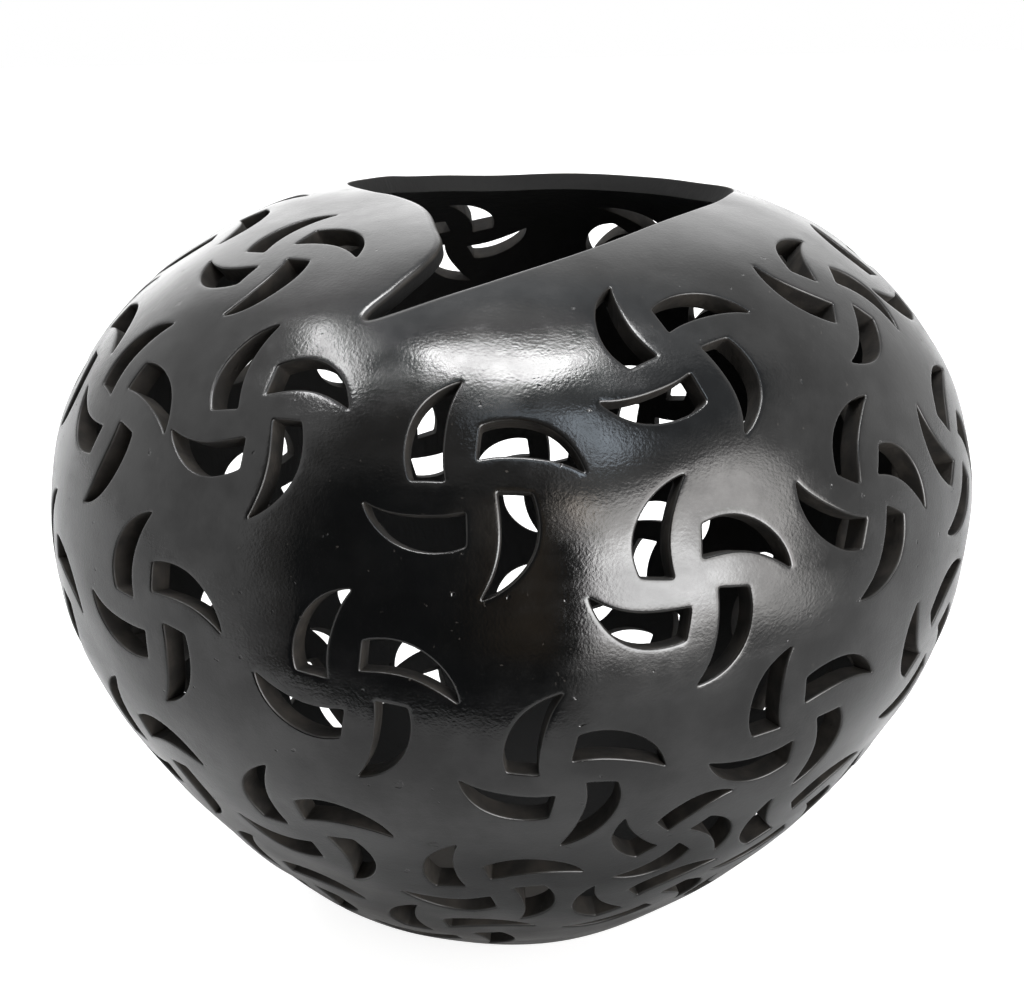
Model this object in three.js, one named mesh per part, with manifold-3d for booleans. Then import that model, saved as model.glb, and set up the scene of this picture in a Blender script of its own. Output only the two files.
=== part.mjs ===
// Barro negro pot: a round, burnished black clay jar whose wall is pierced by rows of four-armed pinwheels.
// Millimetres, +Z up. The origin is on the floor, under the middle of the body. The front faces -Y.
// The pot is one hand-built wall. Its nodes are the courses of clay that the potter lays one on another:
// the foot slab, the lower bowl, the belly, the shoulder, and the closing course with the mouth.

import * as THREE from "three";
import { mergeVertices } from "three/addons/utils/BufferGeometryUtils.js";
import Module from "manifold-3d";

// Driving dimensions
const centreHeight = 141.5; // the body's centre above the floor
const meanRadius = 153; // mean distance of the outer face from the body's centre
const topRise = 2.3; // how far the top stands out further than the bottom
const flattening = 10.2; // how much wider than tall the body is
const shoulderFullness = 10.4; // how far the shoulder swells and the lower half draws in
const leanAtTop = 3; // sideways drift of the wall at leanHeight above the centre, and back below it
const leanHeight = 125;
const maxLean = 1.2; // the lean stops growing beyond this many leanHeights
const backLift = 4.2; // how much higher the wall ends at the back of the mouth than at its front
const liftHeight = 130;
const wallThickness = 7;
const floorThickness = 9;
const seamGap = 0.3; // between one course of clay and the next
const seamHeights = [9, 81.5, 147, 206]; // tops of the slab, bowl, belly and shoulder

// Facets
const facetsRound = 28;
const facetsUp = 12;

// Pinwheels
const tipRadius = 31; // from a pinwheel's centre to the points of its arms
const armCount = 4;
const hubSpacing = 0.425; // between neighbouring hubs, in radians on the body's round
const spreadPasses = 300;
const spreadShare = 0.2; // of the missing distance, made up in one pass
const restPolarRange = [48, 130]; // the rest of the pinwheels stay clear of the mouth and the foot
const restSpin = 12; // the pinwheels round the back are turned either way by up to this many degrees
const cutOutside = 12; // how far a cutter reaches past the outer and the inner face
const cutInside = 20;

// One arm, in tip radii, its point at (1, 0): a blunt end at the hub, and two arcs that meet at the point.
const armPoint = [1, 0];
const bluntOuter = [0.12, 0.52];
const bluntInner = [0.08, 0.22];
const outerBulge = 0.235;
const innerBulge = 0.09;

// The pinwheels as they were laid out by eye, row by row from the mouth down: azimuth to the right of the
// front, polar angle from the top and spin, in degrees, and size where it is not 1. Each row goes on round
// the back, evenly spread.
const rows = [
  {
    laid: [[-89, 40.2, 3], [-48, 39.5, 15], [21, 52.5, 24], [54, 49, -40], [80, 51.5, -10],
      [117, 50.5, 8], [153, 52, -25], [190, 51.5, -17]],
    restPolar: 50,
    restCount: 1,
  },
  {
    laid: [[-76.5, 58.5, 9], [-54, 62.3, -4], [-30, 59.5, 13], [-4, 65, 7], [18, 75, 1], [41.5, 70.5, -19],
      [64.5, 70.5, -42], [88, 72, -10]],
    restPolar: 67,
    restCount: 6,
  },
  {
    laid: [[-67, 84, -8], [-41, 81, 0], [-16, 85, -4], [5, 95, 1], [32, 93, 16], [57, 91, -45], [83, 94, 0]],
    restPolar: 88,
    restCount: 8,
  },
  {
    laid: [[-71, 103, 0], [-50, 102.5, 12], [-26, 107, 9], [-3.5, 117, 17], [19.8, 108.2, -38, 0.8],
      [41, 113, -45], [63, 111.5, -30]],
    restPolar: 108,
    restCount: 7,
  },
  {
    laid: [[-66.5, 126.5, 2], [-40, 127, 0], [-12, 137, 15], [21, 126, -43], [50, 134, -30]],
    restPolar: 128,
    restCount: 6,
  },
];

// The edge of the mouth, as azimuth and polar angle: a slanting edge across the front, the even back of the
// mouth, and the rounded lobe that reaches in from the left and meets the slanting edge at a notch.
const slantEdge = [[-20.5, 47.5], [-9.4, 43.6], [-1.3, 40.8], [11.2, 36.6], [28.2, 32.3], [57.7, 29],
  [82, 29.8]];
const backEdge = [[106, 32.4], [140, 33], [180, 33.3], [206, 32], [229, 27.5], [252, 25.5]];
const lobeEdge = [[268, 22.8], [283.6, 20.4], [295, 18.5], [312, 18.7], [329, 22.3], [340, 28.9],
  [344.8, 34], [344.8, 38], [342, 43]];
const mouthSteps = 44;
const mouthReach = [0.5, 1.6]; // the mouth cutter runs from inside the hollow to well above the wall

const degrees = Math.PI / 180;
const wasm = await Module();
wasm.setup();

// Distance of the outer face from the body's centre, at a polar angle from the top.
function outerRadius(polar) {
  return (
    meanRadius +
    topRise * Math.cos(polar) -
    flattening * Math.cos(2 * polar) -
    shoulderFullness * Math.cos(3 * polar)
  );
}

// A point at an azimuth and a polar angle, at a distance from the body's centre, on the true round.
function pointAt(azimuth, polar, distance) {
  return new THREE.Vector3(
    distance * Math.sin(polar) * Math.sin(azimuth),
    -distance * Math.sin(polar) * Math.cos(azimuth),
    centreHeight + distance * Math.cos(polar),
  );
}

// A three.js geometry as a manifold-3d solid, with its shared vertices merged.
function solidOf(geometry) {
  const bare = new THREE.BufferGeometry();
  bare.setAttribute("position", geometry.getAttribute("position"));
  bare.setIndex(geometry.getIndex());
  const merged = mergeVertices(bare, 1e-4);
  const mesh = new wasm.Mesh({
    numProp: 3,
    vertProperties: merged.attributes.position.array,
    triVerts: new Uint32Array(merged.index.array),
  });
  mesh.merge();
  return new wasm.Manifold(mesh);
}

// A manifold-3d solid as a named mesh with its own clay material.
function meshOf(name, solid, colour) {
  const { vertProperties, triVerts } = solid.getMesh();
  const geometry = new THREE.BufferGeometry();
  geometry.setAttribute("position", new THREE.BufferAttribute(new Float32Array(vertProperties), 3));
  geometry.setIndex(new THREE.BufferAttribute(new Uint32Array(triVerts), 1));
  geometry.computeVertexNormals();
  const material = new THREE.MeshStandardMaterial({ color: colour, roughness: 0.35, metalness: 0.2 });
  const mesh = new THREE.Mesh(geometry, material);
  mesh.name = name;
  return mesh;
}

// A solid of revolution of the body's own profile, drawn in by an inset and standing on a flat floor.
function bodySolid(inset, floorHeight) {
  const floorPolar = polarAtHeight(inset, floorHeight);
  const profile = [new THREE.Vector2(0, floorHeight)];
  for (let i = facetsUp; i >= 0; i -= 1) {
    const polar = (i / facetsUp) * floorPolar;
    const point = pointAt(Math.PI / 2, polar, outerRadius(polar) - inset);
    profile.push(new THREE.Vector2(i === 0 ? 0 : point.x, point.z));
  }
  const lathe = new THREE.LatheGeometry(profile, facetsRound);
  lathe.rotateX(Math.PI / 2);
  return solidOf(handBuilt(lathe));
}

// The polar angle at which the inset profile comes down to a height.
function polarAtHeight(inset, height) {
  let above = Math.PI / 2;
  let below = Math.PI;
  while (below - above > 1e-6) {
    const middle = (above + below) / 2;
    if (pointAt(0, middle, outerRadius(middle) - inset).z > height) above = middle;
    else below = middle;
  }
  return above;
}

// Moves a true round geometry as the hand-built wall leans and lifts.
function handBuilt(geometry) {
  const position = geometry.getAttribute("position");
  const point = new THREE.Vector3();
  for (let i = 0; i < position.count; i += 1) {
    point.fromBufferAttribute(position, i);
    const height = point.z - centreHeight;
    const lean = THREE.MathUtils.clamp(height / leanHeight, -maxLean, maxLean);
    const lift = THREE.MathUtils.clamp(height / liftHeight, 0, 1);
    const backward = point.y / Math.max(Math.hypot(point.x, point.y), 1);
    position.setX(i, point.x + leanAtTop * lean ** 3);
    position.setZ(i, point.z + (backLift * lift ** 4 * (1 + backward)) / 2);
  }
  return geometry;
}

// A cutter: a flat outline, carried by place(x, y) to an azimuth and a polar angle, and drawn along the
// lines through the body's centre from one distance to another.
function radialCutter(outline, place, distanceIn, distanceOut) {
  const shape = new THREE.Shape(outline);
  const prism = new THREE.ExtrudeGeometry(shape, { depth: 1, steps: 1, bevelEnabled: false });
  const position = prism.getAttribute("position");
  for (let i = 0; i < position.count; i += 1) {
    const { azimuth, polar } = place(position.getX(i), position.getY(i));
    const distance = position.getZ(i) > 0.5 ? distanceOut(polar) : distanceIn(polar);
    const point = pointAt(azimuth, polar, distance);
    position.setXYZ(i, point.x, point.y, point.z);
  }
  return solidOf(handBuilt(prism));
}

// Points on the arc between two points that stands off its chord by a bulge.
function arcPoints(start, end, bulge, steps) {
  const from = new THREE.Vector2(...start);
  const chord = new THREE.Vector2(...end).sub(from);
  const side = new THREE.Vector2(-chord.y, chord.x).normalize();
  const radius = (chord.lengthSq() / 4 + bulge * bulge) / (2 * bulge);
  const halfAngle = Math.asin(chord.length() / 2 / radius);
  const points = [];
  for (let i = 0; i <= steps; i += 1) {
    const angle = halfAngle * ((2 * i) / steps - 1);
    const along = 0.5 + (radius * Math.sin(angle)) / chord.length();
    const off = radius * Math.cos(angle) - (radius - bulge);
    points.push(from.clone().addScaledVector(chord, along).addScaledVector(side, off));
  }
  return points;
}

// One arm's outline, anticlockwise, in millimetres on the plane that touches the wall at the hub.
function armOutline(turn, size) {
  const inner = arcPoints(bluntInner, armPoint, innerBulge, 2);
  const outer = arcPoints(bluntOuter, armPoint, outerBulge, 3).reverse();
  return [...inner, ...outer.slice(1)].map((point) =>
    point.rotateAround(new THREE.Vector2(), turn).multiplyScalar(tipRadius * size),
  );
}

// Carries a point of the plane that touches the wall at a hub to its azimuth and polar angle.
function hubPlacer(azimuth, polar) {
  const hub = pointAt(azimuth, polar, outerRadius(polar));
  const east = new THREE.Vector3(Math.cos(azimuth), Math.sin(azimuth), 0);
  const higher = pointAt(azimuth, polar - 1e-3, outerRadius(polar - 1e-3));
  const north = higher.sub(hub).normalize();
  return (x, y) => {
    const point = hub.clone().addScaledVector(east, x).addScaledVector(north, y);
    point.z -= centreHeight;
    return {
      azimuth: Math.atan2(point.x, -point.y),
      polar: Math.acos(point.z / point.length()),
    };
  };
}

// The four cutters of one pinwheel.
function pinwheelCutters([azimuth, polar, spin, size = 1]) {
  const place = hubPlacer(azimuth * degrees, polar * degrees);
  const cutters = [];
  for (let arm = 0; arm < armCount; arm += 1) {
    const turn = spin * degrees + (arm / armCount) * 2 * Math.PI;
    const distanceIn = (angle) => outerRadius(angle) - cutInside;
    const distanceOut = (angle) => outerRadius(angle) + cutOutside;
    cutters.push(radialCutter(armOutline(turn, size), place, distanceIn, distanceOut));
  }
  return cutters;
}

// The rest of a row, at an even step round the back from its last pinwheel to its first.
function restOfRow({ laid, restPolar, restCount }) {
  const last = laid[laid.length - 1][0];
  const first = laid[0][0] + 360;
  const rest = [];
  for (let i = 1; i <= restCount; i += 1) {
    const azimuth = THREE.MathUtils.lerp(last, first, i / (restCount + 1));
    rest.push([azimuth, restPolar, restSpin * Math.sin(i * i)]);
  }
  return rest;
}

// Pushes each of the rest off its near neighbours, so that no two pinwheels run into each other.
function spreadOut(laid, rest) {
  const [highest, lowest] = restPolarRange;
  const hubs = [...laid, ...rest].map(([azimuth, polar]) =>
    new THREE.Vector3().setFromSphericalCoords(1, polar * degrees, azimuth * degrees),
  );
  for (let pass = 0; pass < spreadPasses; pass += 1) {
    for (let i = laid.length; i < hubs.length; i += 1) {
      for (const other of hubs) {
        const away = hubs[i].clone().sub(other);
        const lack = hubSpacing - away.length();
        if (other !== hubs[i] && lack > 0) hubs[i].addScaledVector(away.normalize(), lack * spreadShare);
      }
      const place = new THREE.Spherical().setFromVector3(hubs[i]);
      const polar = THREE.MathUtils.clamp(place.phi, highest * degrees, lowest * degrees);
      hubs[i].setFromSphericalCoords(1, polar, place.theta);
    }
  }
  return rest.map(([, , spin], i) => {
    const place = new THREE.Spherical().setFromVector3(hubs[laid.length + i]);
    return [place.theta / degrees, place.phi / degrees, spin];
  });
}

// The mouth's cutter, whose outline is drawn on a map with the top of the body at its middle.
function mouthCutter() {
  const edge = [...slantEdge, ...backEdge, ...lobeEdge].map(([azimuth, polar]) => {
    return new THREE.Vector3(polar * Math.sin(azimuth * degrees), -polar * Math.cos(azimuth * degrees), 0);
  });
  const curve = new THREE.CatmullRomCurve3(edge, true, "centripetal");
  const outline = curve.getPoints(mouthSteps).slice(0, -1).map(({ x, y }) => new THREE.Vector2(x, y));
  const place = (x, y) => ({ azimuth: Math.atan2(x, -y), polar: Math.hypot(x, y) * degrees });
  const distanceIn = (polar) => outerRadius(polar) * mouthReach[0];
  const distanceOut = (polar) => outerRadius(polar) * mouthReach[1];
  return radialCutter(outline, place, distanceIn, distanceOut);
}

// A flat slab of space between two heights, wider than the pot.
function layer(bottom, top) {
  const height = top - bottom;
  const slab = new THREE.BoxGeometry(3 * meanRadius, 3 * meanRadius, height);
  slab.translate(0, 0, bottom + height / 2);
  return solidOf(slab);
}

// The whole pierced wall, from which each course takes its layer.
function piercedWall() {
  let wall = bodySolid(0, 0).subtract(bodySolid(wallThickness, floorThickness));
  wall = wall.subtract(mouthCutter());
  const laid = rows.flatMap((row) => row.laid);
  const pinwheels = [...laid, ...spreadOut(laid, rows.flatMap(restOfRow))];
  const cutters = pinwheels.flatMap(pinwheelCutters);
  return wall.subtract(wasm.Manifold.union(cutters));
}

// The courses, bottom to top, with their names and clay colours.
const courses = [
  ["foot_slab", 0x2b2a2a],
  ["lower_bowl", 0x2f2e2f],
  ["belly_course", 0x333234],
  ["shoulder_course", 0x313033],
  ["mouth_course", 0x353438],
];

const pot = new THREE.Group();
const wall = piercedWall();
courses.forEach(([name, colour], i) => {
  const bottom = i === 0 ? -floorThickness : seamHeights[i - 1] + seamGap;
  const top = i === seamHeights.length ? 3 * meanRadius : seamHeights[i];
  pot.add(meshOf(name, wall.intersect(layer(bottom, top)), colour));
});

export default pot;
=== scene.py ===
"""The looks of the pierced black clay pot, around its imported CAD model. Metres, +Z up, the front faces -Y.

The pot's wall is one fine mesh: a triangulated outer face and inner face with a hole for each pinwheel arm
and for the mouth, joined through every hole by a rounded edge and a hand-cut wall. It is then divided at
the seams of the CAD model into the five courses of clay, one piece for each CAD node.
"""

import math

import bmesh
import bpy
import numpy as np
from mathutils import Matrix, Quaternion, Vector
from mathutils.geometry import delaunay_2d_cdt


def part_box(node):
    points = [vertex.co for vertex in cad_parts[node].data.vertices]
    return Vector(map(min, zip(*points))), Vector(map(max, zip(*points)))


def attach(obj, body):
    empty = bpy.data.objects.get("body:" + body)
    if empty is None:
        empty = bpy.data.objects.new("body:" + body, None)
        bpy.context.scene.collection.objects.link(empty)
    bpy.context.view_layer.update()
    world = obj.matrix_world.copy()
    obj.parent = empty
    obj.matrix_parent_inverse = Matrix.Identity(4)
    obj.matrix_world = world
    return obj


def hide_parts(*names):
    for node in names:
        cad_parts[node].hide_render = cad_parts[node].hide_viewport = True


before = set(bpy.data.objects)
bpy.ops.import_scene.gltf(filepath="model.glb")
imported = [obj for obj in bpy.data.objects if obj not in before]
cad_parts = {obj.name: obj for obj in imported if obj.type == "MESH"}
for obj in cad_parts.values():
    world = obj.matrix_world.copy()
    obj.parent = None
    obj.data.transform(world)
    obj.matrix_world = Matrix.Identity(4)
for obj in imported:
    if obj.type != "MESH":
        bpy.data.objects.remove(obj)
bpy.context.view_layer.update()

MM = 0.001
DEGREES = math.pi / 180

# The courses of clay, bottom to top, and where one ends and the next begins, from the CAD model
COURSES = ["foot_slab", "lower_bowl", "belly_course", "shoulder_course", "mouth_course"]
COURSE_BOXES = [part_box(name) for name in COURSES]
SEAMS = [(under[1].z + over[0].z) / 2 for under, over in zip(COURSE_BOXES, COURSE_BOXES[1:])]
FLOOR_HEIGHT = COURSE_BOXES[0][1].z

# The body's shape, as the CAD model has it
CENTRE_HEIGHT = 141.5 * MM
MEAN_RADIUS = 153 * MM
TOP_RISE = 2.3 * MM
FLATTENING = 10.2 * MM
SHOULDER_FULLNESS = 10.4 * MM
LEAN_AT_TOP = 3 * MM
LEAN_HEIGHT = 125 * MM
MAX_LEAN = 1.2
BACK_LIFT = 4.2 * MM
LIFT_HEIGHT = 130 * MM
WALL = 7 * MM
RIM_THINNING = 0.4 * MM
RIM_POLAR_RANGE = (30 * DEGREES, 50 * DEGREES)  # where the wall is thinnest, and where it is whole
FOOT_FILLET = 5 * MM

# Unevenness of the hand-shaped wall: wavelength, amplitude and number of the waves
UNEVENNESS = [(75 * MM, 0.16 * MM, 7), (32 * MM, 0.05 * MM, 12)]
UNEVENNESS_SEED = 11

# Fineness of the mesh
OUTER_SPACING = 3.0 * MM
INNER_SPACING = 6.0 * MM
CLEARANCE = 1.1 * MM  # between a hole's edge and the nearest loose point of the mesh
HOLE_MARGIN = 0.02  # how much wider than a hole, in cosine, the patch is where its loose points are sought
SAME_POINT = 1e-9  # flat points this near are one
SEAM_SNAP = 0.001 * MM  # a point this near a seam counts as on it
ARM_POINTS = 48
ARM_SHARPNESS = 0.6  # how much closer the points of an outline lie where it bends
MOUTH_SPACING = 1.5 * MM
MOUTH_SHARPNESS = 0.5
MOUTH_CURVE_STEPS = 40  # from one laid point of the mouth's edge to the next
SMALL_TURN = 1e-3  # in radians, to find which way the outer face runs

# An arm of a pinwheel, in tip radii from the hub, with its point along +X
ARM_POINT = (1.0, 0.0)
BLUNT_OUTER = (0.12, 0.52)
BLUNT_INNER = (0.08, 0.22)
OUTER_BULGE = 0.235
INNER_BULGE = 0.09
INNER_ARC_STEPS = 60
OUTER_ARC_STEPS = 80
BLUNT_STEPS = 24
FINE_ARM_POINTS = 480  # of the outline whose corners are then softened
CORNER_BLUR = 3.2  # how far along the outline a corner is softened, in fine points, and how far to look
CORNER_REACH = 12

# Pinwheels, and how much one arm differs from the next: in size, sway in tip radii, and turn in radians
TIP_RADIUS = 31 * MM
ARM_COUNT = 4
HAND_STRETCH = 0.012
HAND_SWAY = 0.008
HAND_WAVES = 7
HAND_TURN = 0.012
HAND_SEED = 13

# How the pinwheels round the back are spread: how far apart their hubs are pushed on a sphere of radius 1,
# in how many passes, by what share of the lack each time, within which polar angles, and their most spin
HUB_SPACING = 0.425
SPREAD_PASSES = 300
SPREAD_SHARE = 0.2
REST_POLAR_RANGE = (48, 130)
REST_SPIN = 12

# How the holes are cut: a rounded outer edge, a wall, and a less rounded inner edge
EDGE_RADIUS = 0.75 * MM
RUBBED_BAND = 0.75 * MM  # how far beyond its rounding the clay is rubbed down a little, and by how much
RUBBED_DROP = 0.08 * MM
MOUTH_EDGE_RADIUS = 0.6 * MM
LOBE_EDGE_RADIUS = 2.3 * MM
LOBE_MIDDLE = 318 * DEGREES  # the azimuth where the lobe's edge is roundest
LOBE_REACH = (16 * DEGREES, 50 * DEGREES)  # how far round from there it stays so, and where that ends
MOUTH_SHADE_SHARE = 0.9  # how dark the mouth's cut clay is painted with the inside's painted shade, against 1 for the inside of the pot
INNER_EDGE_SHARE = 0.4  # the inner edge's rounding, as a share of the outer edge's
EDGE_STEPS = 4
EDGE_POLISH = (1.0, 0.95, 0.75, 0.35, 0.0)  # how burnished each step of the rounded edge is
EDGE_ROOM = 3.4 * MM  # an edge that has less room than this to the next hole is rounded less
NEIGHBOURS = 14  # how many of the nearest outlines, itself among them, are measured against
INNER_EDGE_STEPS = 2
WALL_STEPS = 3
KNIFE_SWAY = 0.12 * MM  # how far the knife strayed on its way through the wall, and how often round a hole
KNIFE_WAVES = 5
KNIFE_SEED = 3

# Pinwheels laid out one by one, row by row from the mouth down: azimuth to the right of the front, polar
# angle from the top and spin, in degrees, and size where it is not 1. Each row then goes on round the back,
# evenly spread: (pinwheels laid out, polar angle of the rest, count of the rest).
ROWS = [
    ([(-89, 40.2, 3), (-48, 39.5, 15), (21, 52.5, 24), (54, 49, -40), (80, 51.5, -10),
      (117, 50.5, 8), (153, 52, -25), (190, 51.5, -17)], 50, 1),
    ([(-76.5, 58.5, 9), (-54, 62.3, -4), (-30, 59.5, 13), (-4, 65, 7), (18, 75, 1), (41.5, 70.5, -19),
      (64.5, 70.5, -42), (88, 72, -10)], 67, 6),
    ([(-67, 84, -8), (-41, 81, 0), (-16, 85, -4), (5, 95, 1), (32, 93, 16), (57, 91, -45),
      (83, 94, 0)], 88, 8),
    ([(-71, 103, 0), (-50, 102.5, 12), (-26, 107, 9), (-3.5, 117, 17), (19.8, 108.2, -38, 0.8),
      (41, 113, -45), (63, 111.5, -30)], 108, 7),
    ([(-66.5, 126.5, 2), (-40, 127, 0), (-12, 137, 15), (21, 126, -43), (50, 134, -30)], 128, 6),
]

# The edge of the mouth, as azimuth and polar angle: the slanting front edge, the even back and the lobe
SLANT_EDGE = [(-20.5, 47.5), (-9.4, 43.6), (-1.3, 40.8), (11.2, 36.6), (28.2, 32.3), (57.7, 29), (82, 29.8)]
BACK_EDGE = [(106, 32.4), (140, 33), (180, 33.3), (206, 32), (229, 27.5), (252, 25.5)]
LOBE_EDGE = [(268, 22.8), (283.6, 20.4), (295, 18.5), (312, 18.7), (329, 22.3), (340, 28.9), (344.8, 34),
             (344.8, 38), (342, 43)]


# ---------------------------------------------------------------- the body's form

def outer_radius(polar):
    """Distance of the outer face from the body's centre."""
    return (MEAN_RADIUS + TOP_RISE * np.cos(polar) - FLATTENING * np.cos(2 * polar)
            - SHOULDER_FULLNESS * np.cos(3 * polar))


def direction(azimuth, polar):
    """Unit vectors from the body's centre."""
    return np.stack([np.sin(polar) * np.sin(azimuth), -np.sin(polar) * np.cos(azimuth), np.cos(polar)], -1)


def polar_of(rays):
    return np.arccos(np.clip(rays[:, 2], -1, 1))


def unit(vectors):
    return vectors / np.linalg.norm(vectors, axis=-1, keepdims=True)


def smooth_step(value, start, end):
    t = np.clip((value - start) / (end - start), 0, 1)
    return t * t * (3 - 2 * t)


def wall_thickness(polar):
    """The wall thins towards the mouth."""
    thinnest, whole = RIM_POLAR_RANGE
    return WALL - RIM_THINNING * smooth_step(-polar, -whole, -thinnest)


def undulation(rays):
    """The slight unevenness of a wall shaped and burnished by hand."""
    draw = np.random.default_rng(UNEVENNESS_SEED)
    height = np.zeros(len(rays))
    for wavelength, amplitude, count in UNEVENNESS:
        for _ in range(count):
            wave = unit(draw.normal(size=3)) * 2 * math.pi * MEAN_RADIUS / wavelength
            height += amplitude * np.sin(rays @ wave + draw.uniform(0, 2 * math.pi))
    return height


def smooth_max(a, b, blend):
    near = np.clip(blend - np.abs(a - b), 0, None) / blend
    return np.maximum(a, b) + near * near * blend / 4


def place(rays, depth):
    """Points at a depth under the outer face, along rays from the centre of the leaning, uneven body."""
    polar = polar_of(rays)
    point = rays * (outer_radius(polar) + undulation(rays) - depth)[:, None]
    share = np.clip(depth / wall_thickness(polar), 0, 1)
    point[:, 2] = smooth_max(point[:, 2] + CENTRE_HEIGHT, share * FLOOR_HEIGHT, FOOT_FILLET)
    height = point[:, 2] - CENTRE_HEIGHT
    lean = np.clip(height / LEAN_HEIGHT, -MAX_LEAN, MAX_LEAN)
    lift = np.clip(height / LIFT_HEIGHT, 0, 1)
    backward = point[:, 1] / np.maximum(np.hypot(point[:, 0], point[:, 1]), MM)
    point[:, 0] += LEAN_AT_TOP * lean ** 3
    point[:, 2] += BACK_LIFT * lift ** 4 * (1 + backward) / 2
    return point


# ---------------------------------------------------------------- outlines of the holes

def arc_points(start, end, bulge, steps):
    """Points on the arc between two points that stands off its chord by a bulge."""
    start, end = np.array(start), np.array(end)
    chord = end - start
    length = np.linalg.norm(chord)
    side = np.array([-chord[1], chord[0]]) / length
    radius = (length ** 2 / 4 + bulge ** 2) / (2 * bulge)
    angle = math.asin(length / 2 / radius) * np.linspace(-1, 1, steps + 1)
    along = 0.5 + radius * np.sin(angle) / length
    off = radius * np.cos(angle) - (radius - bulge)
    return start + along[:, None] * chord + off[:, None] * side


def evenly(points, count, sharpness=0.0):
    """So many points round a closed outline, packed closer where it bends if sharpness is above 0."""
    ahead = np.roll(points, -1, 0) - points
    length = np.linalg.norm(ahead, axis=1)
    heading = np.unwrap(np.arctan2(ahead[:, 1], ahead[:, 0]))
    bend = np.abs(np.angle(np.exp(1j * (np.roll(heading, -1) - heading))))
    bend = (bend + np.roll(bend, 1)) / 2
    weight = np.concatenate([[0], np.cumsum(length / length.sum() + sharpness * bend / (2 * math.pi))])
    wanted = np.linspace(0, weight[-1], count, endpoint=False)
    closed = np.vstack([points, points[:1]])
    return np.stack([np.interp(wanted, weight, closed[:, i]) for i in range(2)], -1)


def arm_template():
    """One arm with its point along +X, anticlockwise, its corners softened, in tip radii."""
    inner = arc_points(BLUNT_INNER, ARM_POINT, INNER_BULGE, INNER_ARC_STEPS)
    outer = arc_points(BLUNT_OUTER, ARM_POINT, OUTER_BULGE, OUTER_ARC_STEPS)[::-1]
    blunt = np.linspace(BLUNT_OUTER, BLUNT_INNER, BLUNT_STEPS)[1:-1]
    fine = evenly(np.vstack([inner, outer[1:], blunt]), FINE_ARM_POINTS)
    reach = np.arange(-CORNER_REACH, CORNER_REACH + 1)
    kernel = np.exp(-0.5 * (reach / CORNER_BLUR) ** 2)
    kernel /= kernel.sum()
    soft = sum(weight * np.roll(fine, shift, 0) for weight, shift in zip(kernel, reach))
    return evenly(soft, ARM_POINTS, ARM_SHARPNESS)


def hub_frame(azimuth, polar):
    """The hub's point from the body's centre, and east and north on the plane that touches it there."""
    def at(angle):
        return direction(azimuth, angle) * outer_radius(angle)
    hub = at(polar)
    east = np.array([math.cos(azimuth), math.sin(azimuth), 0])
    north = unit(at(polar - SMALL_TURN) - hub)
    return hub, east, north


def spherical(polar, azimuth):
    """A unit vector with its polar angle from +Y and its azimuth from +Z towards +X."""
    across = math.sin(polar)
    return np.array([across * math.sin(azimuth), math.cos(polar), across * math.cos(azimuth)])


def rest_of_row(laid, rest_polar, rest_count):
    """The rest of a row, at an even step round the back from its last pinwheel to its first."""
    last, first = laid[-1][0], laid[0][0] + 360
    return [(last + (first - last) * i / (rest_count + 1), rest_polar, REST_SPIN * math.sin(i * i))
            for i in range(1, rest_count + 1)]


def spread_out(laid, rest):
    """Pushes each of the rest off its near neighbours, so that no two pinwheels run into each other."""
    hubs = np.array([spherical(p[1] * DEGREES, p[0] * DEGREES) for p in laid + rest])
    for _ in range(SPREAD_PASSES):
        for i in range(len(laid), len(hubs)):
            for j in range(len(hubs)):
                away = hubs[i] - hubs[j]
                distance = math.sqrt(away @ away)
                if j != i and distance < HUB_SPACING:
                    hubs[i] += away / distance * (HUB_SPACING - distance) * SPREAD_SHARE
            polar = math.acos(hubs[i][1] / math.sqrt(hubs[i] @ hubs[i]))
            polar = min(max(polar, REST_POLAR_RANGE[0] * DEGREES), REST_POLAR_RANGE[1] * DEGREES)
            hubs[i] = spherical(polar, math.atan2(hubs[i][0], hubs[i][2]))
    placed = []
    for hub, (_, _, spin) in zip(hubs[len(laid):], rest):
        placed.append((math.atan2(hub[0], hub[2]) / DEGREES, math.acos(hub[1]) / DEGREES, spin))
    return placed


def pinwheels():
    """(azimuth, polar, spin, size) of every pinwheel."""
    laid = [p for row in ROWS for p in row[0]]
    rest = [p for row in ROWS for p in rest_of_row(*row)]
    return [(*p, 1.0)[:4] for p in laid + spread_out(laid, rest)]


def arm_outlines():
    """The outline of every arm as rays from the centre, each cut a little differently."""
    template = arm_template()
    draw = np.random.default_rng(HAND_SEED)
    outlines = []
    for azimuth, polar, spin, size in pinwheels():
        hub, east, north = hub_frame(azimuth * DEGREES, polar * DEGREES)
        for arm in range(ARM_COUNT):
            phase = draw.uniform(0, 2 * math.pi, size=2)
            sway = HAND_SWAY * np.sin(HAND_WAVES * template[:, ::-1] + phase)
            shape = template * (1 + HAND_STRETCH * draw.normal(size=2)) + sway
            turn = spin * DEGREES + arm * 2 * math.pi / ARM_COUNT + HAND_TURN * draw.normal()
            x = shape[:, 0] * math.cos(turn) - shape[:, 1] * math.sin(turn)
            y = shape[:, 0] * math.sin(turn) + shape[:, 1] * math.cos(turn)
            scale = TIP_RADIUS * size
            outlines.append(unit(hub + scale * (x[:, None] * east + y[:, None] * north)))
    return outlines


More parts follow.
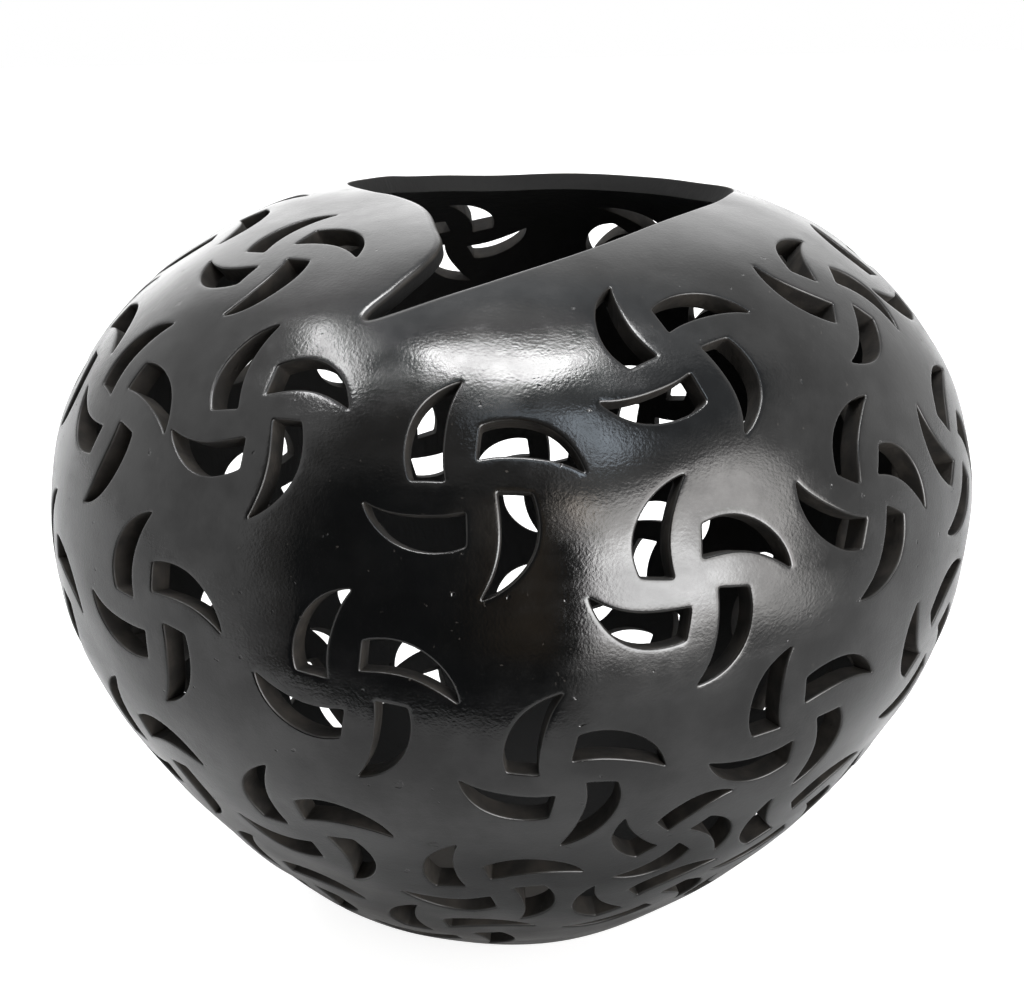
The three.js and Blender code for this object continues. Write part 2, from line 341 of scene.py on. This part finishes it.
def closed_curve(points, steps):
    """A closed centripetal Catmull-Rom curve, with so many steps between points."""
    curve = []
    count = len(points)
    for i in range(count):
        p = [points[(i + k) % count] for k in (-1, 0, 1, 2)]
        gap = [math.sqrt(math.dist(p[k], p[k + 1])) for k in range(3)]
        for step in range(steps):
            t1 = (p[1] - p[0]) / gap[0] - (p[2] - p[0]) / (gap[0] + gap[1]) + (p[2] - p[1]) / gap[1]
            t2 = (p[2] - p[1]) / gap[1] - (p[3] - p[1]) / (gap[1] + gap[2]) + (p[3] - p[2]) / gap[2]
            t1, t2 = t1 * gap[1], t2 * gap[1]
            s = step / steps
            curve.append(p[1] + t1 * s + (-3 * p[1] + 3 * p[2] - 2 * t1 - t2) * s ** 2
                         + (2 * p[1] - 2 * p[2] + t1 + t2) * s ** 3)
    return np.array(curve)


def mouth_outline():
    """The mouth's edge as rays from the centre."""
    corners = [np.array([polar * math.sin(azimuth * DEGREES), -polar * math.cos(azimuth * DEGREES)])
               for azimuth, polar in SLANT_EDGE + BACK_EDGE + LOBE_EDGE]
    fine = closed_curve(corners, MOUTH_CURVE_STEPS)
    perimeter = np.linalg.norm(np.roll(fine, -1, 0) - fine, axis=1).sum() * DEGREES * MEAN_RADIUS
    even = evenly(fine, round(perimeter / MOUTH_SPACING), MOUTH_SHARPNESS)
    return direction(np.arctan2(even[:, 0], -even[:, 1]), np.hypot(even[:, 0], even[:, 1]) * DEGREES)


# ---------------------------------------------------------------- the mesh of the wall

def into_clay(outline):
    """Unit tangents of the sphere that point away from the hole, square to its outline."""
    along = np.roll(outline, -1, 0) - np.roll(outline, 1, 0)
    return unit(np.cross(along, outline))


def moved(outline, away, distance):
    """The outline's rays moved away from the hole by a distance on the body, or by one for each ray."""
    return unit(outline + away * (np.broadcast_to(distance, len(outline)) / MEAN_RADIUS)[:, None])


def room_around(outlines):
    """For each ray of each outline, the distance to the nearest other outline, up to EDGE_ROOM."""
    middles = np.array([unit(outline.mean(0)) for outline in outlines])
    halfway = [unit(outline + np.roll(outline, -1, 0)) for outline in outlines]
    rooms = []
    for i, outline in enumerate(outlines):
        near = [j for j in np.argsort(-middles @ middles[i])[:NEIGHBOURS] if j != i]
        others = np.vstack([outlines[j] for j in near] + [halfway[j] for j in near])
        gap = np.sqrt(((outline[:, None] - others[None]) ** 2).sum(-1)).min(1) * MEAN_RADIUS
        gap = np.minimum(gap, EDGE_ROOM)
        rooms.append((np.roll(gap, 1) + gap + np.roll(gap, -1)) / 3)
    return rooms


def mouth_edge_radius(outline):
    """How round the mouth's edge is at each of its rays: crisp, but worn round at the lobe's end."""
    azimuth = np.arctan2(outline[:, 0], -outline[:, 1])
    off = np.abs(np.angle(np.exp(1j * (azimuth - LOBE_MIDDLE))))
    worn = 1 - smooth_step(off, *LOBE_REACH)
    return MOUTH_EDGE_RADIUS + (LOBE_EDGE_RADIUS - MOUTH_EDGE_RADIUS) * worn


def hole_rings(outline, radius, shade_share, draw):
    """The rings of a hole, from the outer face to the inner one: (rays, depth, polish) for each. Polish
    below 0 is a share of the inside's painted shade.
    """
    away = into_clay(outline)
    thickness = wall_thickness(polar_of(outline))
    inner_radius = radius * INNER_EDGE_SHARE
    room_share = np.minimum(radius / EDGE_RADIUS, 1) ** 3
    drop = RUBBED_DROP * room_share
    rings = [(moved(outline, away, radius + RUBBED_BAND * room_share), 0 * radius, 1.0)]
    # Below 0, polish lays a share of the inside's painted shade on the mouth's edge and cut clay
    for i in range(EDGE_STEPS + 1):
        angle = i / EDGE_STEPS * math.pi / 2
        rays = moved(outline, away, radius * (1 - math.sin(angle)))
        depth = drop + radius * (1 - math.cos(angle))
        rings.append((rays, depth, EDGE_POLISH[i] - shade_share * (1 - EDGE_POLISH[i])))
    around = np.linspace(0, 2 * math.pi, len(outline), endpoint=False)
    for i in range(1, WALL_STEPS):
        share = i / WALL_STEPS
        phase = draw.uniform(0, 6)
        cut = KNIFE_SWAY * np.sin(KNIFE_WAVES * around + phase) * math.sin(math.pi * share)
        depth = drop + radius + (thickness - drop - radius - inner_radius) * share
        rings.append((moved(outline, away, cut), depth, -shade_share))
    for i in range(INNER_EDGE_STEPS + 1):
        angle = i / INNER_EDGE_STEPS * math.pi / 2
        back = inner_radius * (1 - math.cos(angle))
        rings.append((moved(outline, away, back), thickness - inner_radius * (1 - math.sin(angle)), -shade_share))
    return rings


def lattice(spacing):
    """Rays spread evenly over the whole sphere."""
    count = int(4 * math.pi * MEAN_RADIUS ** 2 / (spacing ** 2 * math.sqrt(3) / 2))
    i = np.arange(count) + 0.5
    golden = math.pi * (1 + math.sqrt(5))
    return direction(golden * i, np.arccos(1 - 2 * i / count))


def flat_map(rays):
    """The stereographic map from the top pole, which lies in the mouth. It keeps triangles in shape."""
    return rays[:, :2] / (1 - rays[:, 2:3])


def inside(points, outline):
    """Whether each flat point lies within a flat closed outline."""
    x, y = points[:, 0:1], points[:, 1:2]
    ax, ay = outline[:, 0], outline[:, 1]
    bx, by = np.roll(ax, -1), np.roll(ay, -1)
    spans = (ay > y) != (by > y)
    rise = np.where(by == ay, 1, by - ay)
    crossing = ax + (y - ay) * (bx - ax) / rise
    return (np.sum(spans & (x < crossing), axis=1) % 2) == 1


def loose_points(holes, spacing):
    """Lattice rays that keep clear of every hole. A hole is the rays of its edge; the last is the mouth."""
    rays = lattice(spacing)
    keep = inside(flat_map(rays), flat_map(moved(holes[-1], into_clay(holes[-1]), CLEARANCE)))
    rays = rays[keep]
    for hole in holes[:-1]:
        middle = unit(hole.mean(0))
        reach = (hole @ middle).min() - HOLE_MARGIN
        near = np.flatnonzero(rays @ middle > reach)
        wider = flat_map(moved(hole, into_clay(hole), CLEARANCE))
        rays = np.delete(rays, near[inside(flat_map(rays[near]), wider)], axis=0)
    return rays


def pierced_face(holes, spacing):
    """Rays and triangles over the sphere outside the holes. The holes' own rays come first, in order."""
    rays = np.vstack(holes + [loose_points(holes, spacing)])
    flat = flat_map(rays)
    ends = np.cumsum([len(hole) for hole in holes]).tolist()
    spans = [(end - len(hole), end) for hole, end in zip(holes, ends)]
    edges = [(i, i + 1 if i + 1 < end else start) for start, end in spans for i in range(start, end)]
    made = delaunay_2d_cdt([Vector(p) for p in flat.tolist()], edges, [], 0, SAME_POINT)
    source = np.array([origin[0] for origin in made[3]])
    triangles = source[np.array(made[2])]
    centre = flat[triangles].mean(1)
    mouth_start, mouth_end = spans[-1]
    keep = inside(centre, flat[mouth_start:mouth_end])
    owner = np.full(len(rays), -1)
    for i, (start, end) in enumerate(spans[:-1]):
        owner[start:end] = i
    corners = owner[triangles]
    same = (corners[:, 0] == corners[:, 1]) & (corners[:, 0] == corners[:, 2])
    for i, (start, end) in enumerate(spans[:-1]):
        mine = np.flatnonzero(same & (corners[:, 0] == i))
        keep[mine[inside(centre[mine], flat[start:end])]] = False
    return rays, triangles[keep]


def facing(points, triangles, outward):
    """Turns every triangle so that its normal agrees with the rays (outward) or opposes them."""
    a, b, c = (points[triangles[:, i]] for i in range(3))
    normal = np.cross(b - a, c - a)
    middle = (a + b + c) / 3 - (0, 0, CENTRE_HEIGHT)
    wrong = (np.einsum("ij,ij->i", normal, middle) > 0) != outward
    triangles = triangles.copy()
    triangles[wrong] = triangles[wrong][:, ::-1]
    return triangles


def strips(rings):
    """The triangles between each ring of points and the next, rings given as the points' numbers."""
    triangles = []
    for upper, lower in zip(rings, rings[1:]):
        right, below_right = np.roll(upper, -1), np.roll(lower, -1)
        triangles.append(np.stack([upper, right, lower], -1))
        triangles.append(np.stack([right, below_right, lower], -1))
    return triangles


def wall_mesh():
    """The whole pierced wall: points, triangles and polish (1 burnished, 0 cut, -1 inside the pot, which is
    painted darker as shade).
    """
    draw = np.random.default_rng(KNIFE_SEED)
    outlines = arm_outlines() + [mouth_outline()]
    radii = [EDGE_RADIUS * room / EDGE_ROOM for room in room_around(outlines)]
    radii[-1] = mouth_edge_radius(outlines[-1])
    # The mouth's cut clay gets the inside's painted shade; the arms' cut clay does not
    shade_shares = [0.0] * (len(outlines) - 1) + [MOUTH_SHADE_SHARE]
    holes = [hole_rings(*hole, draw) for hole in zip(outlines, radii, shade_shares)]
    outer_rays, outer = pierced_face([rings[0][0] for rings in holes], OUTER_SPACING)
    inner_rays, inner = pierced_face([rings[-1][0] for rings in holes], INNER_SPACING)
    points = [place(outer_rays, np.zeros(len(outer_rays))),
              place(inner_rays, wall_thickness(polar_of(inner_rays)))]
    polish = [np.ones(len(outer_rays)), -np.ones(len(inner_rays))]
    triangles = [facing(points[0], outer, True), facing(points[1], inner, False) + len(outer_rays)]
    total = len(outer_rays) + len(inner_rays)
    start = 0
    for rings in holes:
        count = len(rings[0][0])
        middle = rings[1:-1]
        points.append(place(np.vstack([r[0] for r in middle]), np.concatenate([r[1] for r in middle])))
        polish.append(np.concatenate([np.full(count, r[2]) for r in middle]))
        first = start + np.arange(count)
        last = len(outer_rays) + start + np.arange(count)
        between = [total + i * count + np.arange(count) for i in range(len(middle))]
        triangles += strips([first] + between + [last])
        start += count
        total += len(middle) * count
    return np.vstack(points), np.vstack(triangles), np.concatenate(polish)


def even_normals(points, triangles):
    """A normal for each point, to which each triangle adds as its area, so that broad faces stay true."""
    a, b, c = (points[triangles[:, i]] for i in range(3))
    weighted = np.cross(b - a, c - a)
    normals = np.stack([
        sum(np.bincount(triangles[:, corner], weighted[:, axis], len(points)) for corner in range(3))
        for axis in range(3)
    ], -1)
    return unit(normals)


def blender_mesh(name, points, triangles):
    """A mesh of triangles, filled from arrays."""
    mesh = bpy.data.meshes.new(name)
    mesh.vertices.add(len(points))
    mesh.vertices.foreach_set("co", points.astype(np.float32).ravel())
    mesh.loops.add(3 * len(triangles))
    mesh.loops.foreach_set("vertex_index", triangles.astype(np.int32).ravel())
    mesh.polygons.add(len(triangles))
    mesh.polygons.foreach_set("loop_start", np.arange(0, 3 * len(triangles), 3, dtype=np.int32))
    mesh.update(calc_edges=True)
    return mesh


def seamed_wall():
    """The whole wall as a bmesh, cut at every seam, with each point's polish and normal kept with it."""
    points, triangles, polish = wall_mesh()
    mesh = blender_mesh("wall", points, triangles)
    mesh.attributes.new("polish", "FLOAT", "POINT").data.foreach_set("value", polish.astype(np.float32))
    normals = even_normals(points, triangles)
    kept = mesh.attributes.new("kept_normal", "FLOAT_VECTOR", "POINT")
    kept.data.foreach_set("vector", normals.astype(np.float32).ravel())
    wall = bmesh.new()
    wall.from_mesh(mesh)
    bpy.data.meshes.remove(mesh)
    for height in SEAMS:
        bmesh.ops.bisect_plane(wall, geom=wall.verts[:] + wall.edges[:] + wall.faces[:], dist=SEAM_SNAP,
                               plane_co=(0, 0, height), plane_no=(0, 0, 1))
    return wall


def course_mesh(name, wall, bottom, top):
    """One course of the wall, closed by flat faces at its seams."""
    course = wall.copy()
    outside = [f for f in course.faces if not bottom < f.calc_center_median().z < top]
    bmesh.ops.delete(course, geom=outside, context="FACES")
    open_edges = [e for e in course.edges if e.is_boundary]
    caps = set()
    for height in (bottom, top):
        rim = [e for e in open_edges if all(abs(v.co.z - height) < 2 * SEAM_SNAP for v in e.verts)]
        if rim:
            made = bmesh.ops.triangle_fill(course, use_beauty=False, use_dissolve=False, edges=rim)
            caps.update(f for f in made["geom"] if isinstance(f, bmesh.types.BMFace))
    for face in course.faces:
        face.smooth = face not in caps
    for face in caps:
        height = face.calc_center_median().z
        upward = abs(height - top) < abs(height - bottom)
        if (face.normal.z > 0) != upward:
            face.normal_flip()
    bmesh.ops.triangulate(course, faces=[f for f in course.faces if len(f.verts) > 3])
    mesh = bpy.data.meshes.new(name)
    course.to_mesh(mesh)
    course.free()
    set_kept_normals(mesh)
    return mesh


def set_kept_normals(mesh):
    """Gives the wall's faces the normals kept from the whole wall, so that the seams don't show."""
    normals = np.empty(3 * len(mesh.vertices), np.float32)
    mesh.attributes["kept_normal"].data.foreach_get("vector", normals)
    corner_points = np.empty(len(mesh.loops), np.int32)
    mesh.loops.foreach_get("vertex_index", corner_points)
    corners = unit(normals.reshape(-1, 3))[corner_points]
    for face in mesh.polygons:
        if not face.use_smooth:
            corners[face.loop_start:face.loop_start + face.loop_total] = face.normal
    mesh.normals_split_custom_set(corners)
    mesh.attributes.remove(mesh.attributes["kept_normal"])


def add_courses(materials):
    """The five courses of clay, one for each CAD node."""
    wall = seamed_wall()
    heights = [-math.inf, *SEAMS, math.inf]
    for name, bottom, top in zip(COURSES, heights, heights[1:]):
        mesh = course_mesh(name + "_clay", wall, bottom, top)
        slot = "base_clay" if name == "foot_slab" else "burnished_clay"
        mesh.materials.append(materials[slot])
        piece = bpy.data.objects.new(name + "_clay", mesh)
        bpy.context.scene.collection.objects.link(piece)
        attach(piece, "root")
        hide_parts(name)
    wall.free()


# ---------------------------------------------------------------- shader nodes

class Shader:
    """A node tree with short calls for the nodes used here."""

    def __init__(self, tree):
        self.tree = tree
        tree.nodes.clear()

    def node(self, kind, inputs=(), **settings):
        node = self.tree.nodes.new(kind)
        for name, value in settings.items():
            setattr(node, name, value)
        for name, value in dict(inputs).items():
            self.feed(node.inputs[name], value)
        return node

    def feed(self, socket, value):
        if isinstance(value, bpy.types.NodeSocket):
            self.tree.links.new(value, socket)
        else:
            socket.default_value = value

    def math(self, operation, a, b=0.0):
        """One step of arithmetic."""
        return self.node("ShaderNodeMath", {0: a, 1: b}, operation=operation).outputs[0]

    def ramp(self, value, start, end, low=0.0, high=1.0, smooth=True):
        """value, taken from start..end to low..high."""
        kind = "SMOOTHSTEP" if smooth else "LINEAR"
        inputs = {"Value": value, "From Min": start, "From Max": end, "To Min": low, "To Max": high}
        return self.node("ShaderNodeMapRange", inputs, interpolation_type=kind).outputs["Result"]

    def mix(self, share, a, b):
        """Numbers a to b."""
        return self.node("ShaderNodeMix", {0: share, 2: a, 3: b}, data_type="FLOAT").outputs[0]

    def mix_colour(self, share, a, b):
        """Colours a to b."""
        return self.node("ShaderNodeMix", {0: share, 6: a, 7: b}, data_type="RGBA").outputs[2]

    def noise(self, point, size, detail=3.0, roughness=0.5, stretch=None):
        """Noise of a feature size in metres."""
        if stretch:
            point = self.node("ShaderNodeMapping", {"Vector": point, "Scale": stretch}).outputs[0]
        inputs = {"Vector": point, "Scale": 1 / size, "Detail": detail, "Roughness": roughness}
        return self.node("ShaderNodeTexNoise", inputs).outputs[0]

    def bump(self, height, distance, under=None):
        """Relief as high as the distance, in metres, over the relief under it."""
        inputs = {"Height": height, "Distance": distance, "Strength": 1.0}
        if under is not None:
            inputs["Normal"] = under
        return self.node("ShaderNodeBump", inputs).outputs[0]


def grey(value, warmth=0.0):
    """A grey, or with some warmth a brownish one, or below 0 a bluish one."""
    return (value * (1 + warmth), value, value * (1 - warmth), 1.0)


def new_material(name):
    """A material and the shader that fills it."""
    material = bpy.data.materials.new(name)
    material.use_nodes = True
    return material, Shader(material.node_tree)


def burnished_clay():
    """Smoke-black clay, rubbed to a soft shine outside and left matte where it is cut and inside. The inside
    and the mouth's cut clay are painted darker, as painted shade.
    """
    material, shader = new_material("burnished_clay")
    point = shader.node("ShaderNodeTexCoord").outputs["Object"]
    attribute = shader.node("ShaderNodeAttribute", attribute_name="polish").outputs["Fac"]
    polish = shader.ramp(attribute, 0, 1, smooth=False)
    # Where painted shade darkens the colour: the inside of the pot, and the mouth's cut clay
    inside_shade = shader.ramp(attribute, 0, -1)

    # Patterns in the clay
    cloud = shader.noise(point, 0.022, detail=5, roughness=0.6)
    stroke = shader.noise(point, 0.012, detail=3, stretch=(0.35, 0.35, 2.2))
    dimple = shader.noise(point, 0.0065, detail=2)
    grain = shader.noise(point, 0.0009, detail=3)
    speck = shader.ramp(shader.noise(point, 0.0016, detail=1), 0.75, 0.81)
    pit = shader.ramp(shader.noise(point, 0.0045, detail=2), 0.27, 0.22)
    tool = shader.noise(point, 0.004, detail=2, stretch=(1, 1, 0.25))

    # How it shines, and its colour
    gloss = shader.ramp(shader.noise(point, 0.03, detail=5, roughness=0.62), 0.34, 0.66, 0.40, 0.60)
    shine = shader.ramp(cloud, 0.32, 0.66, 0.09, 0.21)
    shine = shader.math("ADD", shine, shader.ramp(stroke, 0.3, 0.7, -0.02, 0.04))
    roughness = shader.mix(polish, 0.8, shine)
    dust = shader.ramp(shader.noise(point, 0.006), 0.3, 0.75)
    cut = shader.mix_colour(dust, grey(0.005, 0.14), grey(0.015, 0.17))
    # Painted shade: the inside of the pot is painted darker than the cut clay, over the clay's own black
    cut = shader.mix_colour(inside_shade, cut, grey(0.0025))
    rubbed = shader.mix_colour(cloud, grey(0.0004), grey(0.0016, 0.05))
    rubbed = shader.mix_colour(shader.math("MULTIPLY", speck, 0.5), rubbed, grey(0.030, 0.1))
    colour = shader.mix_colour(polish, cut, rubbed)

    # Relief too fine for the mesh
    bump = shader.bump(grain, 0.000045)
    bump = shader.bump(dimple, shader.mix(polish, 0.0001, 0.00004), under=bump)
    bump = shader.bump(stroke, 0.00005, under=bump)
    bump = shader.bump(tool, shader.mix(polish, 0.00035, 0.0), under=bump)
    bump = shader.bump(pit, -0.00015, under=bump)
    inputs = {"Base Color": colour, "Roughness": roughness, "Normal": bump, "IOR": 1.52,
              "Specular IOR Level": shader.mix(polish, 0.22, gloss)}
    surface = shader.node("ShaderNodeBsdfPrincipled", inputs)
    shader.node("ShaderNodeOutputMaterial", {"Surface": surface.outputs[0]})
    return material


def base_clay():
    """The same clay, scuffed matte where the pot stands."""
    material, shader = new_material("base_clay")
    point = shader.node("ShaderNodeTexCoord").outputs["Object"]
    cloud = shader.noise(point, 0.012, detail=4)
    grain = shader.noise(point, 0.0012, detail=3)
    colour = shader.mix_colour(cloud, grey(0.012, 0.08), grey(0.035, 0.14))
    bump = shader.bump(grain, 0.00008)
    inputs = {"Base Color": colour, "Roughness": 0.6, "Normal": bump, "IOR": 1.52}
    surface = shader.node("ShaderNodeBsdfPrincipled", inputs)
    shader.node("ShaderNodeOutputMaterial", {"Surface": surface.outputs[0]})
    return material


# ---------------------------------------------------------------- the studio

# What stands round the pot, as the directions it fills: azimuth to the right of the front and elevation in
# degrees, how soft its edges are, how bright it is and how warm. Later ones cover earlier ones.
STUDIO = [
    ("high wall", (-400, 400), (60, 100), 8, 1.0, -0.04),
    ("high wall behind", (-400, 400), (76, 100), 3, 1.4, 0),
    ("white sheet behind, left", (-400, -145), (-90, 50), 12, 2.0, 0),
    ("white sheet behind, right", (150, 400), (-90, 50), 12, 1.6, 0),
    ("dark room in front", (-62, 16), (-60, 68), 5, 0.30, 0.02),
    ("camera's side", (-52, 13), (-60, 38), 4, 0.07, -0.1),
    ("brown door", (-8, 6), (-20, 32), 5, 0.22, 0.25),
    ("dim corner", (40, 92), (40, 64), 5, 0.45, -0.06),
    ("lamp at the left", (-120, -78), (55, 60), 1.5, 20.0, 0),
    ("lamp above the camera", (-12, 22), (57, 62), 2.5, 3.0, -0.12),
    ("lamp's streak", (23, 37), (46, 60), 2.5, 6.0, -0.12),
    ("warm lamp", (15, 20), (22, 34), 3, 6.0, 0.15),
    ("soft box at the right", (18, 67), (-21, 31), 5, 7.0, 0.02),
    ("its middle", (20, 50), (-13, 13), 7, 17.0, 0),
    ("soft box overhead", (-98, 92), (74.5, 100), 1.5, 26.0, 0),
]
WALL_BRIGHTNESS = 0.95
FLOOR_REACH = 12.0
TABLE_FRONT = -0.33
TABLE_EDGE_BLUR = 0.01
FLOOR_TONE = 0.45
FLOOR_GLOW = 0.8  # only as the camera sees it


def add_studio():
    """The light from every direction, as the pot sees it. The camera sees white."""
    world = bpy.data.worlds.new("studio")
    bpy.context.scene.world = world
    world.use_nodes = True
    shader = Shader(world.node_tree)
    ray = shader.node("ShaderNodeSeparateXYZ",
                      {0: shader.node("ShaderNodeTexCoord").outputs["Generated"]}).outputs
    forward = shader.math("MULTIPLY", ray[1], -1)
    azimuth = shader.math("DEGREES", shader.math("ARCTAN2", ray[0], forward))
    elevation = shader.math("DEGREES", shader.math("ARCSINE", ray[2]))
    light = grey(WALL_BRIGHTNESS)
    for _, across, upward, soft, brightness, warmth in STUDIO:
        share = 1.0
        for angle, (low, high) in ((azimuth, across), (elevation, upward)):
            share = shader.math("MULTIPLY", share, shader.ramp(angle, low - soft, low + soft))
            share = shader.math("MULTIPLY", share, shader.ramp(angle, high + soft, high - soft))
        light = shader.mix_colour(share, light, grey(brightness, warmth))
    seen = shader.node("ShaderNodeLightPath").outputs["Is Camera Ray"]
    light = shader.mix_colour(seen, light, grey(1))
    background = shader.node("ShaderNodeBackground", {"Color": light})
    shader.node("ShaderNodeOutputWorld", {"Surface": background.outputs[0]})


def floor_material():
    """Pale, with a glow that only the camera sees. In the pot's shine it ends at the table's front."""
    material, shader = new_material("floor")
    path = shader.node("ShaderNodeLightPath").outputs
    pale = shader.node("ShaderNodeBsdfDiffuse", {"Color": grey(FLOOR_TONE)}).outputs[0]
    glow = shader.node("ShaderNodeEmission", {"Strength": FLOOR_GLOW}).outputs[0]
    lit = shader.node("ShaderNodeAddShader", {0: pale, 1: glow}).outputs[0]
    seen = shader.node("ShaderNodeMixShader", {0: path["Is Camera Ray"], 1: pale, 2: lit}).outputs[0]
    clear = shader.node("ShaderNodeBsdfTransparent").outputs[0]
    forward = shader.node("ShaderNodeSeparateXYZ",
                          {0: shader.node("ShaderNodeNewGeometry").outputs["Position"]}).outputs[1]
    beyond = shader.ramp(forward, TABLE_FRONT + TABLE_EDGE_BLUR, TABLE_FRONT - TABLE_EDGE_BLUR)
    reflected = shader.math("MAXIMUM", path["Is Glossy Ray"], path["Is Shadow Ray"])
    share = shader.math("MULTIPLY", beyond, reflected)
    surface = shader.node("ShaderNodeMixShader", {0: share, 1: seen, 2: clear}).outputs[0]
    shader.node("ShaderNodeOutputMaterial", {"Surface": surface})
    return material


def add_floor():
    """A plain pale floor. In the pot's shine it ends in front, where the table of the studio ends."""
    mesh = bpy.data.meshes.new("floor")
    corners = [(x * FLOOR_REACH, y * FLOOR_REACH, 0) for x, y in ((-1, -1), (1, -1), (1, 1), (-1, 1))]
    mesh.from_pydata(corners, [], [(0, 1, 2, 3)])
    mesh.materials.append(floor_material())
    floor = bpy.data.objects.new("floor", mesh)
    bpy.context.scene.collection.objects.link(floor)


# ---------------------------------------------------------------- the camera

CAMERA_DISTANCE = 0.5798
CAMERA_ELEVATION = 19.293 * DEGREES
CAMERA_ROLL = -0.9975 * DEGREES
LENS = 53.587
SENSOR_WIDTH = 36
SHIFT = (0.00132, 0.0488)
NEAR_CLIP = 0.01


def add_camera():
    camera = bpy.data.objects.new("camera", bpy.data.cameras.new("camera"))
    bpy.context.scene.collection.objects.link(camera)
    back = Vector((0, -math.cos(CAMERA_ELEVATION), math.sin(CAMERA_ELEVATION)))
    camera.location = Vector((0, 0, CENTRE_HEIGHT)) + back * CAMERA_DISTANCE
    camera.rotation_mode = "QUATERNION"
    level = (-back).to_track_quat("-Z", "Y")
    camera.rotation_quaternion = level @ Quaternion((0, 0, 1), CAMERA_ROLL)
    camera.data.lens = LENS
    camera.data.sensor_width = SENSOR_WIDTH
    camera.data.shift_x, camera.data.shift_y = SHIFT
    camera.data.clip_start = NEAR_CLIP
    bpy.context.scene.camera = camera


bpy.context.scene.view_settings.view_transform = "Standard"
add_camera()
add_studio()
add_floor()
add_courses({"burnished_clay": burnished_clay(), "base_clay": base_clay()})
